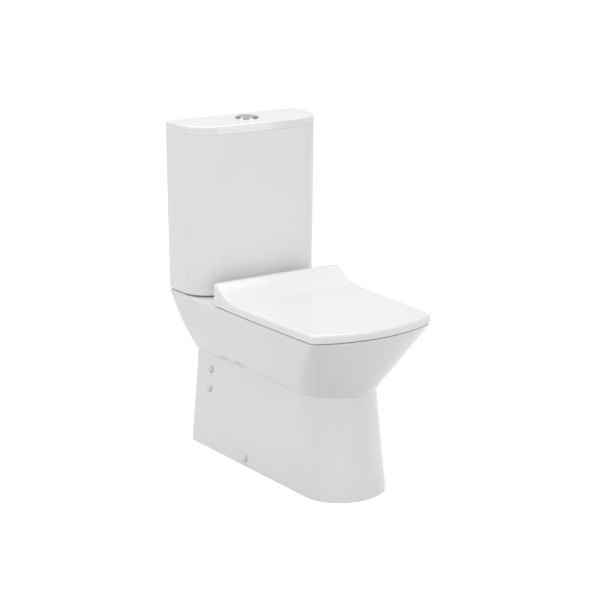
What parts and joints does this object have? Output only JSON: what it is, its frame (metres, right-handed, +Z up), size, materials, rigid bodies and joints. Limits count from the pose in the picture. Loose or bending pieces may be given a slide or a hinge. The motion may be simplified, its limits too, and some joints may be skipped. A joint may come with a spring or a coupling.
{
  "type": "close coupled toilet",
  "caption": "Back-to-wall close coupled toilet: china pan and tank, hinged seat ring and wrap-over cover, dual flush push button, flush and fill valves inside the tank.",
  "frame": {"origin": "on the floor, midway between the wall plane and the front of the seat cover, on the middle line", "axes": "+X to the right seen from the front, +Y towards the wall (the front faces -Y), +Z up"},
  "size_m": [0.3766, 0.652, 0.8375],
  "materials": {
    "china": "glossy glaze",
    "duroplast": "gloss",
    "chrome": "polished",
    "white_plastic": "satin",
    "grey_plastic": "satin",
    "blue_plastic": "satin",
    "rubber": "matt",
    "clear_rubber": "satin",
    "zinc_steel": "zinc plated",
    "brass": "plain"
  },
  "bodies": {
    "toilet": {"pan": "china", "tank": "china", "valve_base": "white_plastic", "valve_base_seal": "rubber", "valve_backnut": "white_plastic", "valve_cage": "white_plastic", "valve_head": "blue_plastic", "fill_valve_body": "white_plastic", "fill_valve_washer": "rubber", "fill_valve_nut": "brass", "fill_valve_head": "blue_plastic", "tank_gasket": "rubber", "tank_bolts": "zinc_steel", "tank_bolt_seals": "rubber", "tank_pads": "clear_rubber", "tank_bolt_washers": "zinc_steel", "tank_wing_nuts": "brass", "hinge_posts": "chrome", "hinge_pins": "zinc_steel", "hinge_bolts": "zinc_steel", "hinge_washers": "rubber", "hinge_nuts": "white_plastic", "screw_caps": "white_plastic", "screw_washers": "white_plastic", "side_screws": "zinc_steel", "floor_brackets": "white_plastic", "wall_brackets": "zinc_steel"},
    "seat_ring": {"seat_ring": "duroplast", "ring_pads": "clear_rubber"},
    "seat_cover": {"seat_cover": "duroplast", "cover_pads": "clear_rubber"},
    "tank_lid": {"tank_lid": "china", "button_housing": "chrome", "button_nut": "white_plastic", "large_button_spring": "zinc_steel", "small_button_spring": "zinc_steel"},
    "large_button": {"large_button": "chrome", "large_push_rod": "white_plastic"},
    "small_button": {"small_button": "chrome", "small_push_rod": "white_plastic"},
    "flush_tube": {"overflow_tube": "grey_plastic", "flush_seal": "rubber"},
    "float": {"fill_float": "white_plastic", "float_rod": "grey_plastic"},
    "float_arm": {"float_arm": "grey_plastic"}
  },
  "joints": [
    {"name": "ring_hinge", "type": "hinge", "parent": "toilet", "child": "seat_ring", "pos_m": [0, 0.114, 0.441], "axis": [1, 0, 0], "range_deg": [-98, 0]},
    {"name": "cover_hinge", "type": "hinge", "parent": "seat_ring", "child": "seat_cover", "pos_m": [0, 0.114, 0.441], "axis": [-1, 0, 0], "range_deg": [0, 98]},
    {"name": "lid_lift", "type": "slide", "parent": "toilet", "child": "tank_lid", "axis": [0, 0, 1], "range_m": [0, 0.12]},
    {"name": "large_press", "type": "slide", "parent": "tank_lid", "child": "large_button", "axis": [0, 0, -1], "range_m": [0, 0.006], "stiffness_N_per_m": 500, "springref_m": -0.004, "deforming": ["large_button_spring"]},
    {"name": "small_press", "type": "slide", "parent": "tank_lid", "child": "small_button", "axis": [0, 0, -1], "range_m": [0, 0.006], "stiffness_N_per_m": 500, "springref_m": -0.004, "deforming": ["small_button_spring"]},
    {"name": "flush_lift", "type": "slide", "parent": "toilet", "child": "flush_tube", "axis": [0, 0, 1], "range_m": [0, 0.015]},
    {"name": "float_drop", "type": "slide", "parent": "toilet", "child": "float", "axis": [0, 0, 1], "range_m": [-0.012, 0]},
    {"name": "arm_tilt", "type": "hinge", "parent": "toilet", "child": "float_arm", "pos_m": [0.13, 0.26, 0.7525], "axis": [0, 1, 0], "range_deg": [-19, 0.5]}
  ],
  "couplings": [
    {"joint": "flush_lift", "follows": "large_press", "ratio": 2.5},
    {"joint": "arm_tilt", "follows": "float_drop", "rad_per_m": 26.316}
  ]
}
